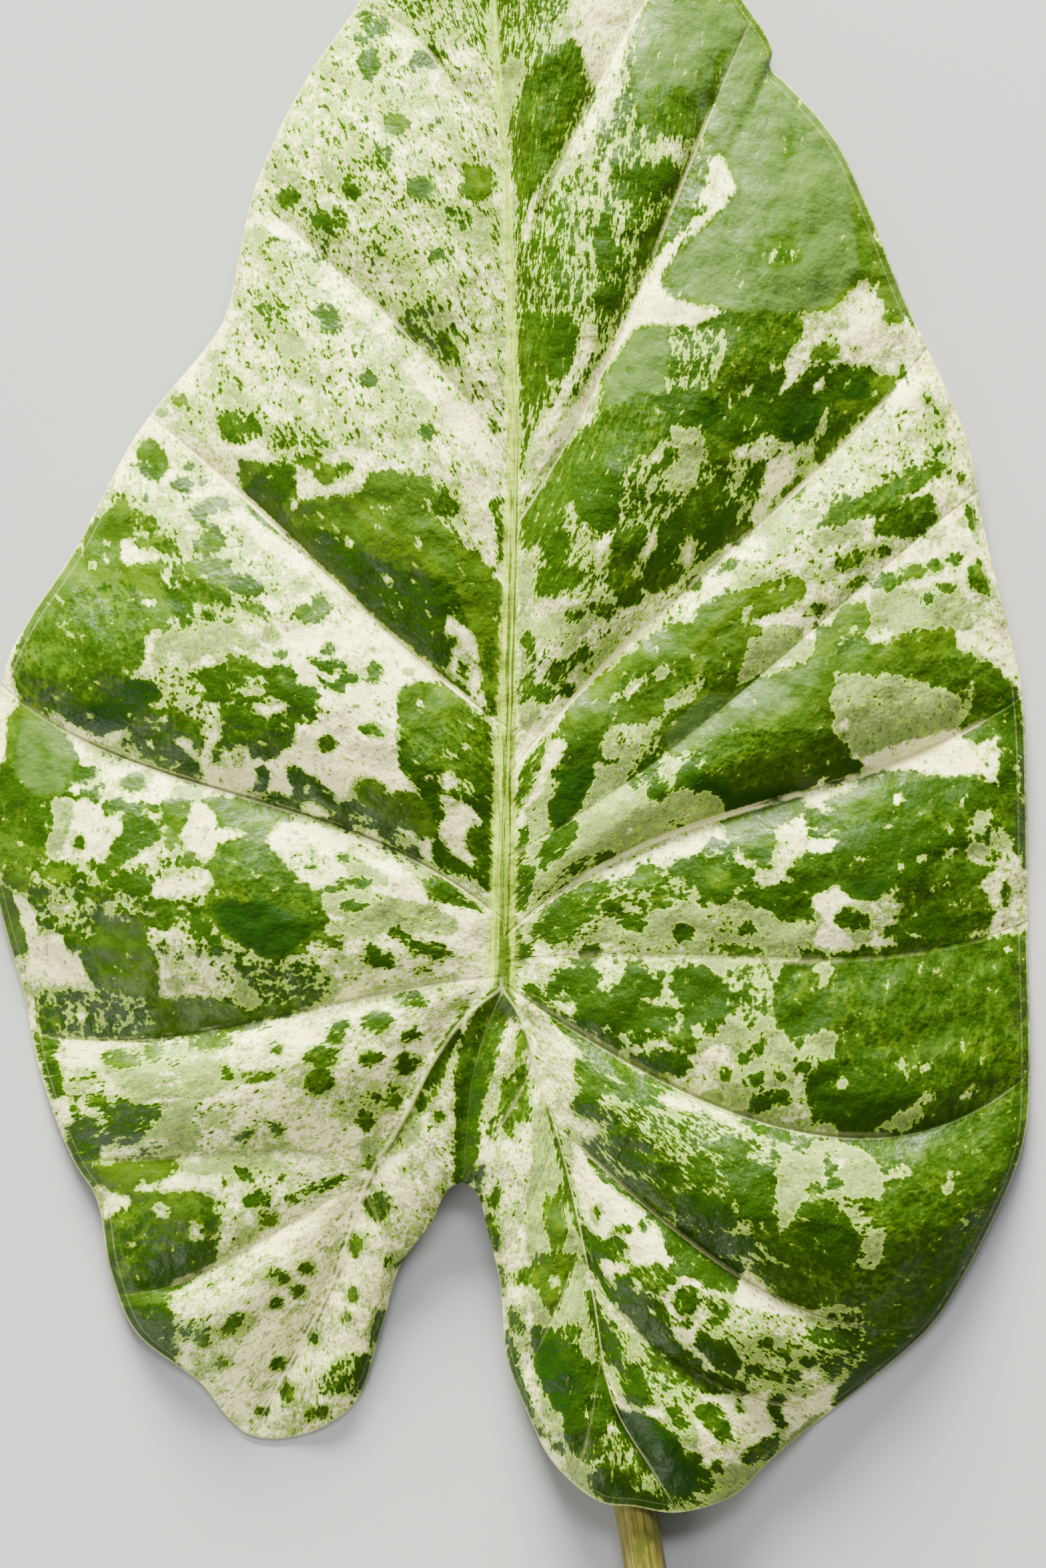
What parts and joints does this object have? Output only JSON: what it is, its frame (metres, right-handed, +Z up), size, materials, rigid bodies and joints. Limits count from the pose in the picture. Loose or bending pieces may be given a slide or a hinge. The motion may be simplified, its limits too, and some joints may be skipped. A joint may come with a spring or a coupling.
{
  "type": "alocasia leaf",
  "caption": "Picked variegated alocasia leaf: a heart-shaped quilted blade with sunk veins, lying face up on its round stalk.",
  "frame": {"origin": "middle of the leaf's bounding box at the surface that it lies on", "axes": "+Y towards the blade's tip, away from the cut end of the stalk; +X to the leaf's right, seen from above; +Z up, out of the blade's upper face"},
  "size_m": [0.2432, 0.5404, 0.0293],
  "materials": {
    "blade": "satin, cream and green marbled leaf skin",
    "leaf_stalk": "satin, olive to tan stalk skin"
  },
  "bodies": {
    "root": {"blade": "blade", "leaf_stalk": "leaf_stalk"}
  },
  "joints": []
}
